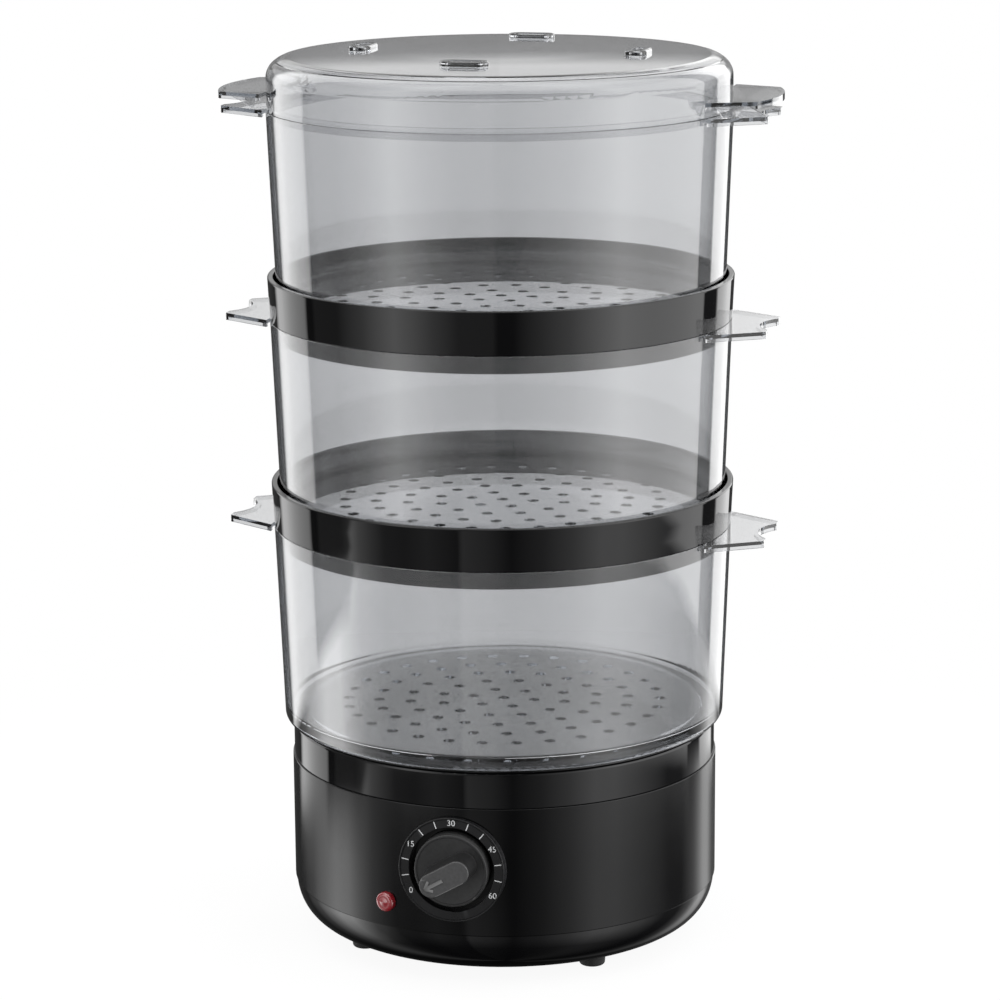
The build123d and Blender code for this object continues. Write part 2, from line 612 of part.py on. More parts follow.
def bowl(foot_z):
    """Clear tapered bowl with a rounded corner, a foot, a pierced floor and two handles."""
    rim_z = foot_z + BOWL_H
    floor_z = foot_z + FLOOR_RISE
    foot_side = foot_z + CORNER
    slope = (BOWL_RIM_R - BOWL_LOW_R) / (BOWL_H - CORNER)
    low_r = BOWL_LOW_R - CORNER * slope
    shell = turned(
        (0, floor_z), (BOWL_FOOT_IN - 2, floor_z), (BOWL_FOOT_IN, foot_z), (low_r, foot_z, CORNER),
        (BOWL_RIM_R, rim_z, 0.4), (BOWL_RIM_R - WALL, rim_z, 0.4), (low_r - WALL, floor_z + WALL, CORNER),
        (0, floor_z + WALL),
    )
    handles = both_ends(bowl_tab(rim_z))
    cavity = prism(Circle(BOWL_RIM_R - WALL + 0.01), foot_side + 20, rim_z + 1)
    solid = joined(shell, [h - cavity for h in handles])
    holes = [Pos(0, 0, 0)]
    for ring, count in ((14, 6), (28, 12), (42, 18), (56, 24), (70, 30)):
        holes += around(count, ring)
    punch = rod(2.5, floor_z - 1, floor_z + WALL + 1)
    return solid - [place * punch for place in holes]


def connecting_ring(rim_z):
    """Black ring on a bowl's rim: skirt inside it, ledge for the next bowl, wall round that bowl's foot."""
    ledge = rim_z + LEDGE_RISE
    under = ledge - WALL
    return turned(
        (95.6, rim_z - SKIRT), (97.4, rim_z - SKIRT), (97.4, under), (98.7, under), (98.7, rim_z),
        (BOWL_RIM_R, rim_z, 0.3), (RING_TOP_R, rim_z + RING_H, 0.7), (RING_TOP_R - 2.6, rim_z + RING_H, 0.5),
        (98.9, ledge, 0.5), (83.5, ledge, 0.5), (83.5, under), (95.6, under),
    )


def lid_tab(rim_z):
    """Lid handle: a plate with an arched outer edge, and two ribs over the bowl's handle."""
    top = rim_z + LID_TAB_RISE
    edges = [ThreePointArc((LID_TAB_X, LID_TAB_W), (LID_TAB_APEX, 0), (LID_TAB_X, -LID_TAB_W))]
    plate = tab(LID_TAB_ROOT_W, LID_TAB_X, LID_TAB_W, edges, top, 3.0)
    low = rim_z + 0.4
    rib = Plane.XZ * make_face(Polyline((99, top - 1), (113, top - 1), (103, low), close=True))
    ribs = [Pos(0, side * 28.5 + 0.8, 0) * extrude(rib, 1.6) for side in (-1, 1)]
    return joined(plate, ribs)


def lid(rim_z):
    """Clear lid with a rounded shoulder, a low dome, a skirt inside the bowl and four raised vents."""
    top = rim_z + LID_H
    inner = LID_R - WALL
    shell = turned(
        (0, top - WALL), (25, top - WALL, 1500), (70, top - WALL - 1.05, 1500),
        (inner, rim_z + LID_EDGE_H - WALL, LID_SHOULDER - WALL), (inner, rim_z + WALL), (96.2, rim_z + WALL),
        (96.2, rim_z - 3.3), (97.8, rim_z - 3.3), (97.8, rim_z), (LID_R, rim_z, 0.3),
        (LID_R, rim_z + 17.9, LID_SHOULDER - 1.4), (CREASE_R, rim_z + CREASE_H),
        (CREASE_R - 0.25, rim_z + CREASE_H - 0.1), (CREASE_R - 0.5, rim_z + CREASE_H + 0.35),
        (93.6, rim_z + LID_EDGE_H + 0.15, 10), (70, top - 1.05, 1500), (25, top, 1500), (0, top),
    )
    cavity = prism(Circle(inner + 0.01), rim_z - 5, rim_z + LID_EDGE_H - LID_SHOULDER - WALL)
    solid = joined(shell, [t - cavity for t in both_ends(lid_tab(rim_z))])
    for place in around(4, VENT_R):
        boss = prism(Rot(0, 0, 90) * SlotOverall(VENT_LONG, VENT_WIDE), rim_z + LID_H - 2.4, rim_z + VENT_TOP_H)
        boss = fillet(boss.edges().group_by(Axis.Z)[-1], 0.9)
        slot = prism(Rot(0, 0, 90) * SlotOverall(14.0, 4.0), top - 8, top + 5)
        solid = solid + place * boss - place * slot
    return solid


# ---------------------------------------------------------------- all nodes
def main():
    os.makedirs("parts", exist_ok=True)
    gasket_low = BASIN_FLOOR_Z + SHELL
    write("base_housing", base_housing())
    write("water_reservoir", water_reservoir())
    write("base_pan", base_pan())
    write("rubber_feet", *rubber_feet())
    write("cover_screws", *cover_screws())
    write("cord_gland", cord_gland())
    write("gland_nut", gland_nut())
    write("heater_plate", heater_plate())
    write("heating_element", heating_element())
    write("element_gasket", tube(43.0, HEATER_HOLE_R + 0.3, gasket_low, PLATE_Z))
    write("element_clamp_ring", clamp_ring())
    write("clamp_nuts", *clamp_nuts())
    write("boil_dry_thermostat", thermostat())
    write("thermal_fuse", thermal_fuse())
    write("terminal_block", terminal_block())
    write("indicator_lens", indicator_lens())
    write("lamp_holder", lamp_holder())
    write("neon_lamp", neon_lamp())
    write("dial_ring", dial_ring())
    write("timer_case", timer_case())
    write("timer_back_plate", timer_back_plate())
    write("shaft_bush", shaft_bush())
    write("timer_screws", *timer_screws())
    write("mainspring", mainspring())
    write("switch_contacts", switch_contacts())
    write("timer_bell", timer_bell())
    write("hammer_pivot", hammer_pivot())
    write("internal_wires", *internal_wires())
    shaft = timer_shaft()
    write("timer_shaft", shaft)
    write("timer_knob", timer_knob() - shaft)
    write("main_gear", main_gear())
    write("switch_cam", switch_cam())
    write("escape_arbor", escape_arbor())
    write("bell_hammer", bell_hammer())
    write("steam_sleeve", steam_sleeve())
    write("drip_tray", drip_tray())
    for tier in (1, 2, 3):
        foot_z = SEAT_Z + (tier - 1) * PITCH
        write(f"bowl_{tier}", bowl(foot_z))
        if tier < 3:
            write(f"connecting_ring_{tier}", connecting_ring(foot_z + BOWL_H))
        else:
            write("lid", lid(foot_z + BOWL_H))


main()
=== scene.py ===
import json
import math

import bmesh
import bpy
from mathutils import Matrix, Vector


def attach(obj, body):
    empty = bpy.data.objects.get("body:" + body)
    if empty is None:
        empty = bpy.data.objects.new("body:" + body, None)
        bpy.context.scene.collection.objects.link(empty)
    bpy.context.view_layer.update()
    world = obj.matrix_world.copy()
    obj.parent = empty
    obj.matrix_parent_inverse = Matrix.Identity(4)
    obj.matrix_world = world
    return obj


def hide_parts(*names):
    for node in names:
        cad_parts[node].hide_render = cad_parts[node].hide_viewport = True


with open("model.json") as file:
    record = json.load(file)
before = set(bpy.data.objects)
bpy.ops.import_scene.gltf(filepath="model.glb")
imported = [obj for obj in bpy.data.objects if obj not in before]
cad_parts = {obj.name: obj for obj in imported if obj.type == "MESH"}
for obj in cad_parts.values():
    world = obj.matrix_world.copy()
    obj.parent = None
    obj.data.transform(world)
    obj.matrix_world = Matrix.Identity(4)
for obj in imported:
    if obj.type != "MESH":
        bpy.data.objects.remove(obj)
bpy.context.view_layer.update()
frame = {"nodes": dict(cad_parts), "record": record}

# Three-tier food steamer: camera, studio, finishes, the dial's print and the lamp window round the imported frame.
MM = 0.001
nodes = frame["nodes"]
scene = bpy.context.scene


def add_object(name, data):
    """New object in the scene's collection."""
    item = bpy.data.objects.new(name, data)
    scene.collection.objects.link(item)
    return item


# ---------------------------------------------------------------- camera
# Place, turn and lens that the ellipses of rims, rings and base ask for, in degrees, metres and millimetres.
CAM_AZIMUTH, CAM_PITCH, CAM_ROLL, CAM_YAW = 13.8, 12.91, 0.43, 0.043
CAM_DISTANCE, CAM_HEIGHT = 1.520, 0.5428
CAM_SENSOR, CAM_LENS = 36.0, 126.5
CAM_NEAR, CAM_FAR = 0.1, 50.0


def make_camera():
    """Camera in front of the stack, a little to the right of the dial and above the lid."""
    turn = math.radians(CAM_AZIMUTH)
    look = math.radians(CAM_AZIMUTH + CAM_YAW)
    pitch, roll = math.radians(CAM_PITCH), math.radians(CAM_ROLL)
    ahead = Vector((-math.sin(look) * math.cos(pitch), math.cos(look) * math.cos(pitch), -math.sin(pitch)))
    right = ahead.cross(Vector((0, 0, 1))).normalized()
    up = right.cross(ahead)
    up_rolled = up * math.cos(roll) + right * math.sin(roll)
    right_rolled = right * math.cos(roll) - up * math.sin(roll)
    data = bpy.data.cameras.new("camera")
    data.sensor_width, data.lens = CAM_SENSOR, CAM_LENS
    data.clip_start, data.clip_end = CAM_NEAR, CAM_FAR
    camera = add_object("camera", data)
    place = Vector((CAM_DISTANCE * math.sin(turn), -CAM_DISTANCE * math.cos(turn), CAM_HEIGHT))
    basis = Matrix((right_rolled, up_rolled, -ahead)).transposed()
    camera.matrix_world = Matrix.Translation(place) @ basis.to_4x4()
    scene.camera = camera


# ---------------------------------------------------------------- node helpers
def feed(tree, node, inputs):
    """Set a node's inputs from numbers and colours, or link them to sockets."""
    for key, value in inputs.items():
        if isinstance(value, bpy.types.NodeSocket):
            tree.links.new(value, node.inputs[key])
        else:
            node.inputs[key].default_value = value


def add(tree, kind, inputs=None, **settings):
    """New shader node with its settings and inputs."""
    node = tree.nodes.new("ShaderNode" + kind)
    for name, value in settings.items():
        setattr(node, name, value)
    feed(tree, node, inputs or {})
    return node


def calc(tree, operation, *values):
    """Result of a math node over numbers and sockets."""
    return add(tree, "Math", dict(enumerate(values)), operation=operation).outputs[0]


def blend(tree, factor, first, second, kind="MIX"):
    """Mixed colour: the first at factor 0, the second at 1."""
    inputs = {"Factor": factor, "A": first, "B": second}
    return add(tree, "Mix", inputs, data_type="RGBA", blend_type=kind).outputs["Result"]


def ramp(tree, source, stops):
    """Grey ramp over a source, with stops at (position, value)."""
    node = add(tree, "ValToRGB", {0: source})
    marks = node.color_ramp.elements
    while len(marks) > 1:
        marks.remove(marks[-1])
    for i, (at, value) in enumerate(stops):
        mark = marks[0] if i == 0 else marks.new(at)
        mark.position = at
        mark.color = (value, value, value, 1)
    return node.outputs[0]


def spread(tree, source, low, high, start=0.3, stop=0.7, **settings):
    """Source mapped from start and stop to low and high."""
    inputs = {"Value": source, "From Min": start, "From Max": stop, "To Min": low, "To Max": high}
    return add(tree, "MapRange", inputs, **settings).outputs[0]


def noise(tree, scale, detail=2.0):
    """Noise in the object's own metres."""
    place = add(tree, "TexCoord").outputs["Object"]
    return add(tree, "TexNoise", {"Vector": place, "Scale": scale, "Detail": detail}).outputs["Fac"]


def split_axes(tree, vector):
    """X, Y and Z of a vector, by name."""
    return add(tree, "SeparateXYZ", {0: vector}).outputs


def show_either(tree, output, factor, first, second):
    """Output that shows the first shader at factor 0 and the second at 1."""
    mix = add(tree, "MixShader", {0: factor, 1: first.outputs[0], 2: second.outputs[0]})
    add(tree, output, {"Surface": mix.outputs[0]})


# ---------------------------------------------------------------- light and ground
# The stack mirrors two rows of soft boxes, the upper one in rings and glass and the lower one in the base. Each pair is
# an angle in degrees, counted round from the camera's side, and the strength there.
RING_BOXES = (
    (-180, 0.05), (-149, 0.05), (-144, 1.8), (-138, 2.1), (-125, 1.7), (-113, 1.5), (-111.5, 0.03),
    (-106, 0.03), (-105, 0.12), (-88, 0.14), (-72, 0.65), (-54, 1.8), (-44, 1.3), (-34, 0.7), (-21, 0.25),
    (-4, 0.22), (-2, 0.05), (6, 0.05), (19, 0.4), (34, 0.92), (50, 1.9), (62, 2.6), (80, 2.1), (110, 1.75),
    (118, 1.5), (119.5, 0.04), (133, 0.04), (134.5, 2.0), (150, 2.1), (157, 1.8), (160, 0.05), (180, 0.05),
)
BASE_BOXES = (
    (-180, 0.03), (-143, 0.05), (-129, 0.33), (-116, 1.4), (-105, 2.95), (-94.5, 3.3), (-85.5, 2.0),
    (-77, 0.9), (-69, 0.5), (-61.5, 0.2), (-50, 0.15), (-38, 0.25), (-22, 0.1), (-20.5, 0.45), (-8, 0.3),
    (4, 0.06), (20, 0.25), (35, 0.65), (50, 1.3), (62, 1.25), (85, 0.5), (99.5, 0.1), (112, 0.08),
    (125.5, 0.55), (137, 1.6), (145, 1.2), (153, 0.16), (180, 0.03),
)
PEAK = 3.5  # strength that a ramp's 1 stands for

# Ramps over a ray's height: 0 is straight down, 0.5 level and 1 straight up.
ROW_BORDER = ((0.0, 0.0), (0.353, 0.0), (0.3546, 1.0), (1.0, 1.0))
ROW_STRENGTH = ((0.0, 0.05), (0.12, 0.15), (0.3, 1.0), (0.78, 1.0), (0.88, 0.45), (1.0, 0.45))
CEILING = ((0.0, 0.0), (0.80, 0.0), (0.92, 0.42), (1.0, 0.42))
SCREEN = (
    (0.0, 0.0), (0.46, 0.0), (0.48, 0.05), (0.553, 0.052), (0.565, 0.09), (0.58, 0.2), (0.7, 0.2), (0.8, 0.0),
)

# Ramps over its turn: 0 and 1 are behind the stack and 0.5 is the camera's side.
ROW_DROP = ((0.0, 0.0066), (0.264, 0.0066), (0.283, 0.0), (0.985, 0.0), (1.0, 0.0066))
SCREEN_REACH = (
    (0.0, 0.9), (0.03, 1.0), (0.2, 0.3), (0.28, 0.0), (0.72, 0.0), (0.8, 0.6), (0.97, 1.5), (0.987, 2.3),
    (0.9885, 0.95),
)

WHITE = (1, 1, 1, 1)
WHITE_IN_GLOSS = 0.01  # share of the white that mirroring surfaces see

FLOOR_RADIUS, FLOOR_SIDES = 9.0, 96
FLOOR_HEIGHT = -0.0002  # just clear of the soles
FLOOR_GREY = 0.93
FADE_FROM, FADE_TO, FADE_SHARE = 0.1, 0.5, 0.93

LIGHT_AIM = Vector((0, 0, 0.2))


def make_world():
    """White to the camera and through clear parts; soft boxes on a dim studio to everything else."""
    world = bpy.data.worlds.new("studio")
    scene.world = world
    world.use_nodes = True
    tree = world.node_tree
    tree.nodes.clear()

    ray = split_axes(tree, add(tree, "TexCoord").outputs["Generated"])
    angle = calc(tree, "ARCTAN2", ray["X"], calc(tree, "MULTIPLY", ray["Y"], -1.0))
    share = calc(tree, "MULTIPLY", angle, 1 / (2 * math.pi))
    shifted = calc(tree, "ADD", share, 0.5 - CAM_AZIMUTH / 360)
    turn = calc(tree, "FRACT", calc(tree, "ADD", shifted, 1.0))
    height = calc(tree, "MULTIPLY_ADD", ray["Z"], 0.5, 0.5)

    lower, upper = [
        ramp(tree, turn, [((degrees + 180) / 360, strength / PEAK) for degrees, strength in boxes])
        for boxes in (BASE_BOXES, RING_BOXES)
    ]
    # on the left the upper row hangs a little lower
    border = ramp(tree, calc(tree, "ADD", height, ramp(tree, turn, ROW_DROP)), ROW_BORDER)
    rows = blend(tree, border, lower, upper)
    side = calc(tree, "MULTIPLY", rows, ramp(tree, height, ROW_STRENGTH))
    # a pale screen behind the stack, seen in level tops
    behind = calc(tree, "MULTIPLY", ramp(tree, height, SCREEN), ramp(tree, turn, SCREEN_REACH))
    total = calc(tree, "ADD", calc(tree, "ADD", side, behind), ramp(tree, height, CEILING))

    studio = add(tree, "Background", {"Color": total, "Strength": PEAK})
    white = add(tree, "Background", {"Color": WHITE, "Strength": 1.0})
    path = add(tree, "LightPath").outputs
    seen = calc(tree, "MAXIMUM", path["Is Camera Ray"], path["Is Transmission Ray"])
    mirrored = calc(tree, "MULTIPLY", path["Is Glossy Ray"], WHITE_IN_GLOSS)
    show_either(tree, "OutputWorld", calc(tree, "MAXIMUM", seen, mirrored), studio, white)


def make_floor():
    """Round pale floor that fades into the white behind it and keeps a soft shadow."""
    mesh = bpy.data.meshes.new("floor")
    form = bmesh.new()
    bmesh.ops.create_circle(form, cap_ends=True, segments=FLOOR_SIDES, radius=FLOOR_RADIUS)
    form.to_mesh(mesh)
    form.free()
    floor = add_object("floor", mesh)
    floor.location = (0, 0, FLOOR_HEIGHT)
    floor.visible_diffuse = False
    floor.visible_glossy = False
    floor.visible_shadow = False

    material = bpy.data.materials.new("floor_white")
    material.use_nodes = True
    tree = material.node_tree
    tree.nodes.clear()
    matte = add(tree, "BsdfDiffuse", {"Color": (FLOOR_GREY, FLOOR_GREY, FLOOR_GREY, 1)})
    glow = add(tree, "Emission", {"Color": WHITE})
    path = add(tree, "LightPath").outputs
    seen = calc(tree, "MAXIMUM", path["Is Camera Ray"], path["Is Transmission Ray"])
    seen = calc(tree, "MAXIMUM", seen, path["Is Glossy Ray"])
    place = add(tree, "TexCoord").outputs["Object"]
    radius = add(tree, "VectorMath", {0: place}, operation="LENGTH").outputs["Value"]
    fade = spread(tree, radius, FADE_SHARE, 1.0, FADE_FROM, FADE_TO, interpolation_type="SMOOTHSTEP")
    show_either(tree, "OutputMaterial", calc(tree, "MULTIPLY", seen, fade), matte, glow)
    mesh.materials.append(material)


def soft_light(name, azimuth, height, distance, width, tall, watts):
    """Large soft box aimed at the middle of the stack, its azimuth counted from the camera's side."""
    data = bpy.data.lights.new(name, "AREA")
    data.shape = "RECTANGLE"
    data.size, data.size_y = width, tall
    data.energy = watts
    light = add_object(name, data)
    turn = math.radians(azimuth + CAM_AZIMUTH)
    light.location = (distance * math.sin(turn), -distance * math.cos(turn), height)
    light.rotation_euler = (LIGHT_AIM - light.location).to_track_quat("-Z", "Y").to_euler()
    light.visible_glossy = False
    light.visible_transmission = False
    light.visible_camera = False


# ---------------------------------------------------------------- materials
WORN = (0.035, 0.035, 0.037)
WEAR_AND_HIGHLIGHT_REACH = 0.06  # pointiness over which an edge colour comes in: wear on the black mouldings, a painted highlight on the knob
# the second colour is painted shade that clear walls take when seen edge-on
CLEAR_TINT, CLEAR_PAINTED_EDGE_SHADE = (0.715, 0.72, 0.73, 1), (0.02, 0.024, 0.032, 1)
CLEAR_BODY, CLEAR_DENSITY = (0.45, 0.48, 0.52, 1), 45.0
EDGE_START, EDGE_STOP = 0.58, 0.82  # how edge-on an upright wall is where its painted shade starts and where it is full
# share of the knob's colour from the front of its grip, over the flanks, to the disc: painted light on the grip's top
# and painted shade on its flanks
KNOB_PAINTED_LIGHT_AND_SHADE = ((0.0, 1.0), (0.035, 0.95), (0.08, 0.2), (0.6, 0.2), (0.66, 0.42), (1.0, 0.35))

PLAIN_FINISHES = {
    "satin_black": dict(
        color=(0.0013, 0.0013, 0.0015), rough=0.115, level=0.34, vary=(35.0, 0.015), tint=(18.0, 1.35),
        grain=(2600.0, 0.012, 0.16),
    ),
    "gloss_black": dict(
        color=(0.0018, 0.0018, 0.0021), rough=0.035, vary=(28.0, 0.012), tint=(22.0, 1.5), edge=(WORN, 0.56),
        waves=(26.0, 0.06, 0.15), grain=(3200.0, 0.004, 0.08),
    ),
    "dial_black": dict(
        color=(0.005, 0.005, 0.0056), rough=0.30, vary=(160.0, 0.05), tint=(90.0, 1.4), edge=(WORN, 0.55),
        grain=(3600.0, 0.03, 0.3),
    ),
    "grey_plastic": dict(
        color=(0.075, 0.078, 0.082), rough=0.42, vary=(60.0, 0.06), tint=(40.0, 1.25),
        grain=(2200.0, 0.03, 0.3),
    ),
    "rubber_black": dict(
        color=(0.012, 0.012, 0.012), rough=0.72, vary=(120.0, 0.08), tint=(90.0, 1.8),
        grain=(1600.0, 0.06, 0.5),
    ),
    "gland_black": dict(
        color=(0.014, 0.014, 0.014), rough=0.45, vary=(120.0, 0.06), tint=(70.0, 1.5),
        grain=(2500.0, 0.03, 0.3),
    ),
    "zinc_steel": dict(
        color=(0.60, 0.60, 0.58), rough=0.34, metallic=1.0, vary=(300.0, 0.10), tint=(150.0, 0.86),
        grain=(2400.0, 0.01, 0.2),
    ),
    "timer_steel": dict(
        color=(0.56, 0.56, 0.55), rough=0.38, metallic=1.0, vary=(120.0, 0.10), tint=(60.0, 0.84),
        grain=(2000.0, 0.01, 0.2),
    ),
    "stainless": dict(
        color=(0.62, 0.61, 0.60), rough=0.27, metallic=1.0, vary=(60.0, 0.08), tint=(45.0, 0.86),
        grain=(900.0, 0.01, 0.2),
    ),
    "silicone": dict(
        color=(0.50, 0.10, 0.06), rough=0.55, vary=(200.0, 0.06), tint=(120.0, 0.8),
        grain=(1800.0, 0.02, 0.2),
    ),
    "ceramic_white": dict(
        color=(0.80, 0.78, 0.72), rough=0.28, vary=(200.0, 0.08), tint=(120.0, 0.9),
        grain=(1500.0, 0.02, 0.2),
    ),
    "fuse_sleeve": dict(
        color=(0.72, 0.69, 0.62), rough=0.52, vary=(200.0, 0.08), tint=(120.0, 0.88),
        grain=(1500.0, 0.03, 0.3),
    ),
    "holder_black": dict(
        color=(0.02, 0.02, 0.02), rough=0.5, vary=(200.0, 0.06), tint=(120.0, 1.4),
        grain=(1800.0, 0.03, 0.3),
    ),
    "brass": dict(
        color=(0.72, 0.52, 0.22), rough=0.28, metallic=1.0, vary=(300.0, 0.10), tint=(160.0, 0.82),
        grain=(2600.0, 0.008, 0.2),
    ),
    "cam_white": dict(
        color=(0.78, 0.78, 0.75), rough=0.4, vary=(300.0, 0.06), tint=(150.0, 0.92),
        grain=(2000.0, 0.02, 0.2),
    ),
    "contact_block": dict(
        color=(0.20, 0.10, 0.05), rough=0.45, vary=(200.0, 0.08), tint=(160.0, 1.4),
        grain=(2000.0, 0.03, 0.3),
    ),
    "bell_metal": dict(
        color=(0.74, 0.73, 0.71), rough=0.14, metallic=1.0, vary=(120.0, 0.05), tint=(80.0, 0.88),
        grain=(1500.0, 0.005, 0.1),
    ),
    "wire_sleeve": dict(
        color=(0.70, 0.66, 0.58), rough=0.6, vary=(300.0, 0.06), tint=(200.0, 0.85),
        grain=(2600.0, 0.04, 0.4),
    ),
    "print_white": dict(
        color=(0.78, 0.79, 0.80), rough=0.5, vary=(900.0, 0.1), tint=(1500.0, 0.82),
        grain=(4000.0, 0.01, 0.2),
    ),
}


def surface(
    name, color, rough, metallic=0.0, level=0.5, vary=None, tint=None, edge=None, waves=None, grain=None
):
    """Principled material.

    vary is the scale and amount of roughness patches, tint the scale and factor of colour patches, and edge the colour
    and pointiness of edges: wear on the black mouldings, a painted highlight on the knob. waves and grain are each the
    scale, height in mm and strength of a bump.
    """
    material = bpy.data.materials.new(name)
    material.use_nodes = True
    tree = material.node_tree
    shader = tree.nodes["Principled BSDF"]
    plain = (*color, 1)
    feed(tree, shader, {
        "Base Color": plain, "Roughness": rough, "Metallic": metallic, "Specular IOR Level": level,
    })
    if vary:
        scale, amount = vary
        patches = spread(tree, noise(tree, scale, detail=4.0), rough - amount, rough + amount)
        feed(tree, shader, {"Roughness": patches})
    base = plain
    if tint:
        scale, factor = tint
        other = (*(min(1.0, c * factor) for c in color), 1)
        base = blend(tree, spread(tree, noise(tree, scale), 0, 1), plain, other)
    if edge:
        shade, limit = edge
        point = add(tree, "NewGeometry").outputs["Pointiness"]
        base = blend(tree, spread(tree, point, 0, 1, limit, limit + WEAR_AND_HIGHLIGHT_REACH), base, (*shade, 1))
    if base is not plain:
        feed(tree, shader, {"Base Color": base})
    normal = None
    for layer in filter(None, (waves, grain)):
        scale, height, strength = layer
        bump = add(tree, "Bump", {
            "Height": noise(tree, scale), "Distance": height * MM, "Strength": strength,
        })
        if normal:
            feed(tree, bump, {"Normal": normal})
        normal = bump.outputs["Normal"]
    if normal:
        feed(tree, shader, {"Normal": normal})
    return material


def clear_plastic():
    """Clear moulding: sharp refraction, painted shade on upright walls seen edge-on, a grey tint and faint flow marks.
    """
    material = surface("clear_plastic", (1.0, 1.0, 1.0), 0.012, vary=(14.0, 0.008), waves=(9.0, 0.05, 0.25))
    tree = material.node_tree
    facing = add(tree, "LayerWeight", {"Blend": 0.5}).outputs["Facing"]
    normal = add(tree, "NewGeometry").outputs["Normal"]
    level = calc(tree, "ABSOLUTE", split_axes(tree, normal)["Z"])
    # painted shade on upright walls as they turn edge-on
    edge_on = spread(tree, facing, 0, 1, EDGE_START, EDGE_STOP)
    painted_edge_shade = calc(tree, "MULTIPLY", edge_on, calc(tree, "SUBTRACT", 1.0, level))
    feed(tree, tree.nodes["Principled BSDF"], {
        "Base Color": blend(tree, painted_edge_shade, CLEAR_TINT, CLEAR_PAINTED_EDGE_SHADE), "Transmission Weight": 1.0, "IOR": 1.5,
        "Coat Weight": 0.8, "Coat Roughness": 0.015,
    })
    body = add(tree, "VolumeAbsorption", {"Color": CLEAR_BODY, "Density": CLEAR_DENSITY})
    feed(tree, tree.nodes["Material Output"], {"Volume": body.outputs[0]})
    return material


def knob_plastic():
    """Knob moulding: matt disc, flanks darkened by painted shade, a grip top lightened by painted light, and a painted
    highlight on its edges.
    """
    material = surface(
        "knob_black", (0.06, 0.06, 0.061), 0.38, vary=(160.0, 0.05), tint=(700.0, 1.3),
        # edge: pale painted highlight along the knob's edges
        edge=((0.2, 0.2, 0.2), 0.53), grain=(3600.0, 0.03, 0.35),
    )
    tree = material.node_tree
    shader = tree.nodes["Principled BSDF"]
    place = split_axes(tree, add(tree, "TexCoord").outputs["Generated"])
    plain = shader.inputs["Base Color"].links[0].from_socket
    # painted light and shade: the grip's top paler, its flanks darker
    painted_light_and_shade = blend(tree, 1.0, plain, ramp(tree, place["Y"], KNOB_PAINTED_LIGHT_AND_SHADE), kind="MULTIPLY")
    feed(tree, shader, {"Base Color": painted_light_and_shade})
    return material


def red_lens():
    """Red translucent lens, clear enough to show its depth."""
    material = surface("lamp_red", (0.42, 0.014, 0.026), 0.12, vary=(300.0, 0.03), grain=(1500.0, 0.02, 0.2))
    feed(material.node_tree, material.node_tree.nodes["Principled BSDF"], {
        "Transmission Weight": 0.35, "IOR": 1.49, "Coat Weight": 1.0, "Coat IOR": 1.9, "Coat Roughness": 0.06,
    })
    return material


def lamp_glass():
    """Thin lamp glass."""
    material = surface("lamp_glass", (0.95, 0.9, 0.85), 0.03, vary=(200.0, 0.02))
    feed(material.node_tree, material.node_tree.nodes["Principled BSDF"], {"Transmission Weight": 0.9})
    return material


finishes = {name: surface(name, **values) for name, values in PLAIN_FINISHES.items()}
finishes.update(
    clear_plastic=clear_plastic(), knob_black=knob_plastic(), lamp_red=red_lens(), lamp_glass=lamp_glass()
)


def dress_nodes():
    """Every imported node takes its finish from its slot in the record."""
    for part in frame["record"]["subparts"]:
        mesh = nodes[part["node"]].data
        finish = finishes[part["material_slot"]]
        if not mesh.materials:
            mesh.materials.append(finish)
        for i in range(len(mesh.materials)):
            mesh.materials[i] = finish


# ---------------------------------------------------------------- dial markings and lamp
# In mm and degrees.
DIAL_FACE, DIAL_Z = 96.4, 54.0
MARK_RADIUS, MARK_LIFT = 20.8, 0.03
NUMBERS, NUMBER_SIZE, NUMBER_DETAIL = ("0", "15", "30", "45", "60"), 3.7, 6
FIRST_NUMBER, NUMBER_STEP, TICK_STEPS = -120, 60, (20, 40)
TICK_START, TICK_END, TICK_WIDTH = 19.2, 22.4, 0.42

LAMP_TURN, LAMP_HEIGHT = -18.8, 35.6
# radius and distance from the stack's axis: a broad rounded rim, a shallow groove and a small domed middle
LAMP_PROFILE = (
    (0, 90.2), (6.0, 90.2), (6.0, 91.8), (4.35, 91.8), (4.35, 96.3), (4.28, 96.75), (4.08, 97.15), (3.75, 97.45),
    (3.3, 97.62), (2.8, 97.64), (2.3, 97.6), (1.9, 97.62), (1.3, 97.74), (0.7, 97.84), (0, 97.88),
)
LATHE_STEPS = 96
CREASE_ANGLE = 38


def on_dial(x, z):
    """Point just off the scale ring's face, x and z in mm from the dial's centre."""
    return Vector((x, -DIAL_FACE - MARK_LIFT, DIAL_Z + z)) * MM


def round_dial(radius, degrees):
    """x and z in mm at a radius, degrees round clockwise from the dial's top."""
    turn = math.radians(degrees)
    return radius * math.sin(turn), radius * math.cos(turn)


def stroke(form, start, end, width):
    """Thin printed bar from start to end on the dial ring."""
    (x0, z0), (x1, z1) = start, end
    along = Vector((x1 - x0, z1 - z0)).normalized()
    across = Vector((-along.y, along.x)) * width / 2
    left = [form.verts.new(on_dial(x + across.x, z + across.y)) for x, z in (start, end)]
    right = [form.verts.new(on_dial(x - across.x, z - across.y)) for x, z in (start, end)]
    form.faces.new((left[0], right[0], right[1], left[1]))


def number(form, text, degrees):
    """Printed number, upright, centred at an angle on the dial ring."""
    curve = bpy.data.curves.new("number_" + text, "FONT")
    curve.body = text
    curve.size = NUMBER_SIZE
    curve.align_x, curve.align_y = "CENTER", "CENTER"
    curve.resolution_u = NUMBER_DETAIL
    source = add_object("number_" + text, curve)
    bpy.context.view_layer.update()
    shape = bpy.data.meshes.new_from_object(source)
    bpy.data.objects.remove(source)
    x, z = round_dial(MARK_RADIUS, degrees)
    for vertex in shape.vertices:
        vertex.co = on_dial(vertex.co.x + x, vertex.co.y + z)
    form.from_mesh(shape)
    bpy.data.meshes.remove(shape)


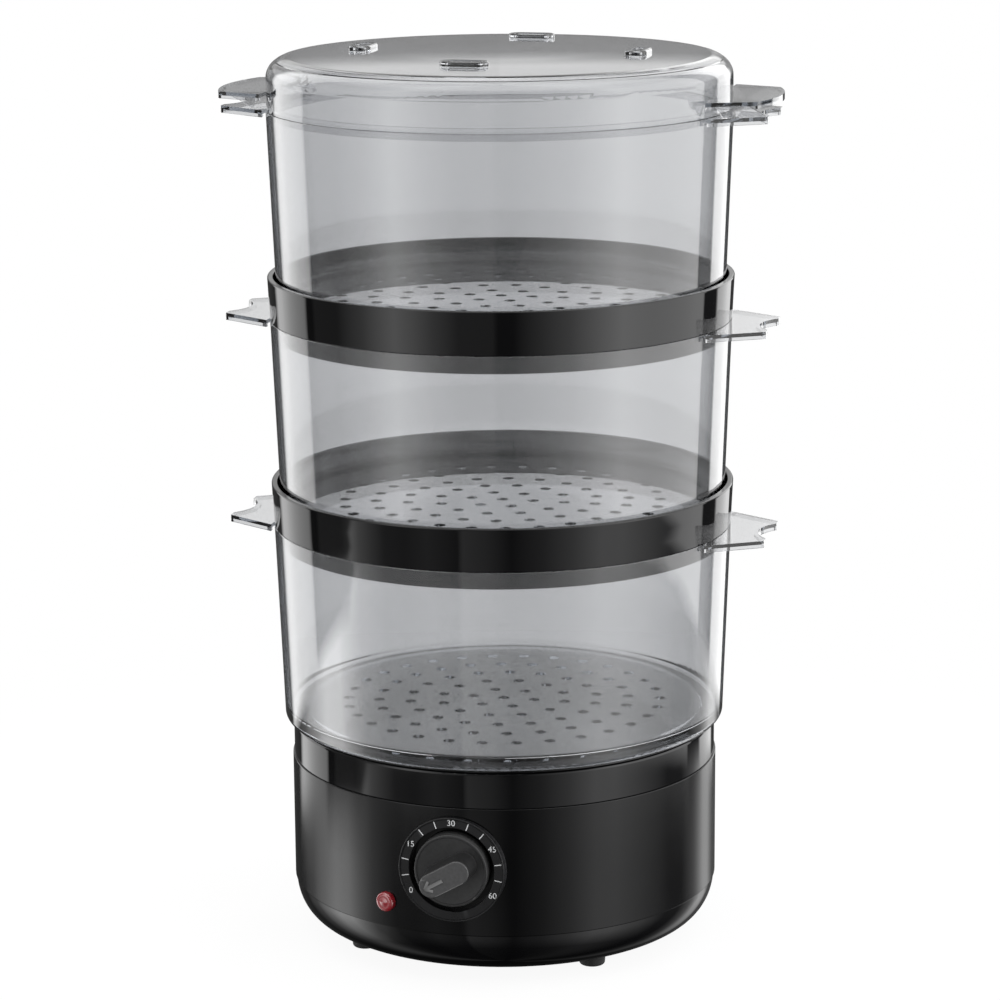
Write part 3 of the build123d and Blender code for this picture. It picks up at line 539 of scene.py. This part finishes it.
def make_marks():
    """White numbers and ticks of the minute scale."""
    form = bmesh.new()
    for i, text in enumerate(NUMBERS):
        degrees = FIRST_NUMBER + NUMBER_STEP * i
        number(form, text, degrees)
        if text != NUMBERS[-1]:
            for step in TICK_STEPS:
                ends = [round_dial(radius, degrees + step) for radius in (TICK_START, TICK_END)]
                stroke(form, *ends, TICK_WIDTH)
    mesh = bpy.data.meshes.new("dial_marks")
    bmesh.ops.recalc_face_normals(form, faces=form.faces)
    form.to_mesh(mesh)
    form.free()
    marks = add_object("dial_marks", mesh)
    mesh.materials.append(finishes["print_white"])
    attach(marks, "base")


def lathe(name, profile, place, finish, body):
    """Turned piece from (radius, height) points in mm about the Z axis of a placing matrix."""
    form = bmesh.new()
    rings = []
    for radius, height in profile:
        count = LATHE_STEPS if radius else 1
        turns = [2 * math.pi * i / LATHE_STEPS for i in range(count)]
        rings.append([
            form.verts.new((radius * MM * math.cos(turn), radius * MM * math.sin(turn), height * MM))
            for turn in turns
        ])
    for a, b in zip(rings, rings[1:]):
        for i in range(LATHE_STEPS):
            j = (i + 1) % LATHE_STEPS
            if len(a) == 1:
                form.faces.new((a[0], b[i], b[j]))
            elif len(b) == 1:
                form.faces.new((a[i], a[j], b[0]))
            else:
                form.faces.new((a[i], a[j], b[j], b[i]))
    bmesh.ops.recalc_face_normals(form, faces=form.faces)
    bmesh.ops.transform(form, matrix=place, verts=form.verts)
    mesh = bpy.data.meshes.new(name)
    form.to_mesh(mesh)
    form.free()
    mesh.materials.append(finish)
    for face in mesh.polygons:
        face.use_smooth = True
    piece = add_object(name, mesh)
    crease = piece.modifiers.new("crease", "EDGE_SPLIT")
    crease.split_angle = math.radians(CREASE_ANGLE)
    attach(piece, body)
    return piece


def make_lamp():
    """Lamp window to the left of the dial, in place of the record's plain lens."""
    turned = Matrix.Rotation(math.radians(LAMP_TURN), 4, "Z")
    raised = Matrix.Translation((0, 0, LAMP_HEIGHT * MM))
    outward = Matrix.Rotation(math.radians(90), 4, "X")
    place = turned @ raised @ outward
    lens = lathe("lamp_window", LAMP_PROFILE, place, finishes["lamp_red"], "base")
    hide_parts("indicator_lens")


make_camera()
make_world()
make_floor()
soft_light("key", azimuth=52, height=0.75, distance=1.5, width=0.9, tall=1.2, watts=6.0)
soft_light("fill", azimuth=-60, height=0.55, distance=1.5, width=0.8, tall=1.2, watts=3.0)
dress_nodes()
make_marks()
make_lamp()

scene.view_settings.view_transform = "Standard"
